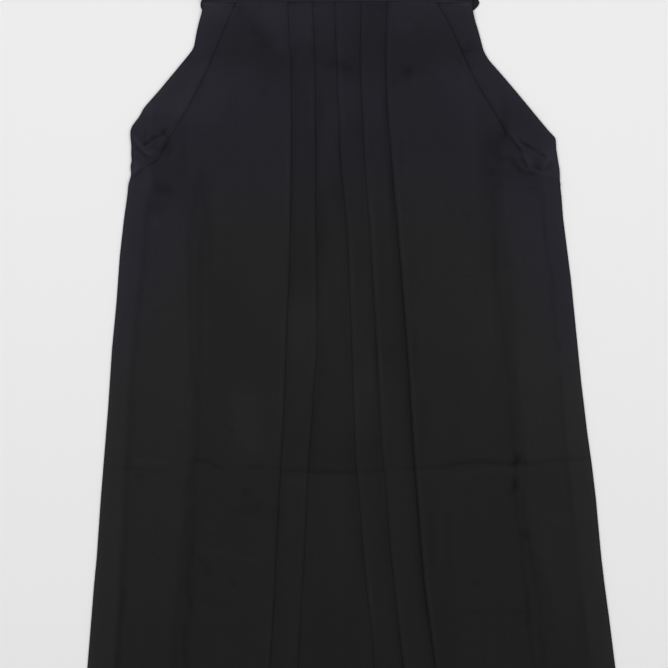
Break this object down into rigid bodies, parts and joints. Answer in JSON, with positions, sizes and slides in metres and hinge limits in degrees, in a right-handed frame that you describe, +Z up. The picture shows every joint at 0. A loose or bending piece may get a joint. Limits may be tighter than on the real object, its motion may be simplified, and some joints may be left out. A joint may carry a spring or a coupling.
{
  "type": "hakama trousers",
  "caption": "Black divided hakama laid flat, front up: knife pleats, side openings, front band, back board and folded ties.",
  "frame": {"origin": "middle of the garment's length and of the hem's width, on the plane it lies on", "axes": "+Y towards the waist, +X to the right for someone looking down on the front, +Z up out of the front"},
  "size_m": [0.616, 1.178, 0.0159],
  "materials": {
    "black_cloth": "matt near-black woven cloth with a faint cool cast and crisp pressed folds"
  },
  "bodies": {
    "root": {"back_left": "black_cloth", "back_right": "black_cloth", "gusset_left": "black_cloth", "gusset_right": "black_cloth", "side_pleat_left": "black_cloth", "side_pleat_right": "black_cloth", "front_left": "black_cloth", "front_right": "black_cloth", "front_band": "black_cloth", "front_tie_left": "black_cloth", "front_tie_right": "black_cloth", "back_board": "black_cloth", "back_tie_left": "black_cloth", "back_tie_right": "black_cloth"}
  },
  "joints": []
}
